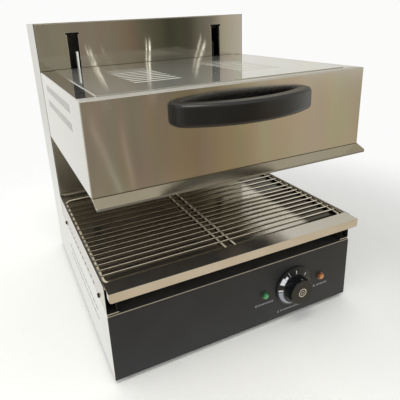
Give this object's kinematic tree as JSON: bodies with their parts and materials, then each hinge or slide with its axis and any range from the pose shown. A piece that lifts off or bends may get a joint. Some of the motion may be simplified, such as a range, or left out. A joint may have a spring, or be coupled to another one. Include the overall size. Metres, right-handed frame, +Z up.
{
  "type": "rise-and-fall salamander grill",
  "caption": "Countertop cheese melter: a heated head slides up and down a rear column over a pull-out tray with a wire grid.",
  "frame": {"origin": "on the floor under the middle of the whole outline, handle and cable gland included", "axes": "+X to the right seen from the front, -Y towards the user, +Z up"},
  "size_m": [0.4544, 0.557, 0.519],
  "materials": {
    "brushed_sheet": "brushed",
    "inner_steel": "satin",
    "black_film": "satin",
    "screw_steel": "plain",
    "rubber_black": "matte",
    "phenolic": "matte",
    "black_plastic": "satin",
    "plain_aluminium": "turned",
    "green_plastic": "gloss",
    "amber_plastic": "gloss",
    "white_ceramic": "matte",
    "plated_wire": "bright",
    "bright_reflector": "polished",
    "element_sheath": "oxidised",
    "bush_brass": "turned",
    "lead_sleeve": "braided",
    "rod_chrome": "ground",
    "wire_rope": "stranded",
    "weight_iron": "painted"
  },
  "bodies": {
    "cabinet": {"base_pan": "inner_steel", "side_panel_left": "brushed_sheet", "side_panel_right": "brushed_sheet", "rear_cover": "inner_steel", "column_front": "brushed_sheet", "column_cap": "brushed_sheet", "control_panel": "brushed_sheet", "panel_overlay": "black_film", "base_deck": "inner_steel", "tray_rail_left": "brushed_sheet", "tray_rail_right": "brushed_sheet", "rail_screws": "screw_steel", "cover_screws": "screw_steel", "rubber_feet": "rubber_black", "foot_screws": "screw_steel", "thermostat_body": "phenolic", "green_lens": "green_plastic", "amber_lens": "amber_plastic", "lamp_bodies": "phenolic", "terminal_block": "white_ceramic", "cable_gland": "black_plastic", "gland_nut": "black_plastic", "top_beam": "inner_steel", "lower_beam": "inner_steel", "guide_rods": "rod_chrome", "rod_nuts": "screw_steel", "rod_buffers": "rubber_black", "stop_collars": "screw_steel", "pulley_brackets": "inner_steel", "pulley_axles": "rod_chrome", "rope_arcs": "wire_rope"},
    "knob": {"thermostat_spindle": "screw_steel", "temperature_knob": "black_plastic", "knob_disc": "plain_aluminium"},
    "tray": {"drip_tray": "brushed_sheet"},
    "grid": {"wire_grid": "plated_wire"},
    "head": {"head_shell": "brushed_sheet", "head_top_panel": "brushed_sheet", "head_rear_panel": "inner_steel", "deflector": "brushed_sheet", "reflector": "bright_reflector", "heating_elements": "element_sheath", "element_supports": "inner_steel", "element_insulators": "white_ceramic", "bow_handle": "black_plastic", "handle_screws": "screw_steel", "lift_arm_left": "inner_steel", "lift_arm_right": "inner_steel", "arm_bolts": "screw_steel", "carriage_plate": "inner_steel", "bush_blocks": "plain_aluminium", "guide_bushes": "bush_brass", "heater_lead": "lead_sleeve", "lead_run": "lead_sleeve", "carriage_ropes": "wire_rope"},
    "weight": {"counterweight": "weight_iron", "weight_eyes": "screw_steel", "weight_ropes": "wire_rope"},
    "left_pulley": {"pulley_left": "plain_aluminium"},
    "right_pulley": {"pulley_right": "plain_aluminium"}
  },
  "joints": [
    {"name": "head_lift", "type": "slide", "parent": "cabinet", "child": "head", "axis": [0, 0, 1], "range_m": [-0.095, 0.033], "deforming": ["carriage_ropes", "lead_run"]},
    {"name": "weight_slide", "type": "slide", "parent": "cabinet", "child": "weight", "axis": [0, 0, 1], "range_m": [-0.034, 0.096], "deforming": ["weight_ropes"]},
    {"name": "left_pulley_turn", "type": "hinge", "parent": "cabinet", "child": "left_pulley", "pos_m": [-0.084, 0.2165, 0.475], "axis": [0, 1, 0], "range_deg": [-225, 80]},
    {"name": "right_pulley_turn", "type": "hinge", "parent": "cabinet", "child": "right_pulley", "pos_m": [0.084, 0.2165, 0.475], "axis": [0, 1, 0], "range_deg": [-80, 225]},
    {"name": "knob_turn", "type": "hinge", "parent": "cabinet", "child": "knob", "pos_m": [0.103, -0.2285, 0.066], "axis": [0, 1, 0], "range_deg": [0, 290]},
    {"name": "tray_pull", "type": "slide", "parent": "cabinet", "child": "tray", "axis": [0, -1, 0], "range_m": [0, 0.3]},
    {"name": "grid_lift_off", "type": "slide", "parent": "tray", "child": "grid", "axis": [0, 0, 1], "range_m": [0, 0.028]}
  ],
  "couplings": [
    {"joint": "weight_slide", "follows": "head_lift", "ratio": -1},
    {"joint": "left_pulley_turn", "follows": "head_lift", "rad_per_m": 40},
    {"joint": "right_pulley_turn", "follows": "head_lift", "rad_per_m": -40}
  ]
}
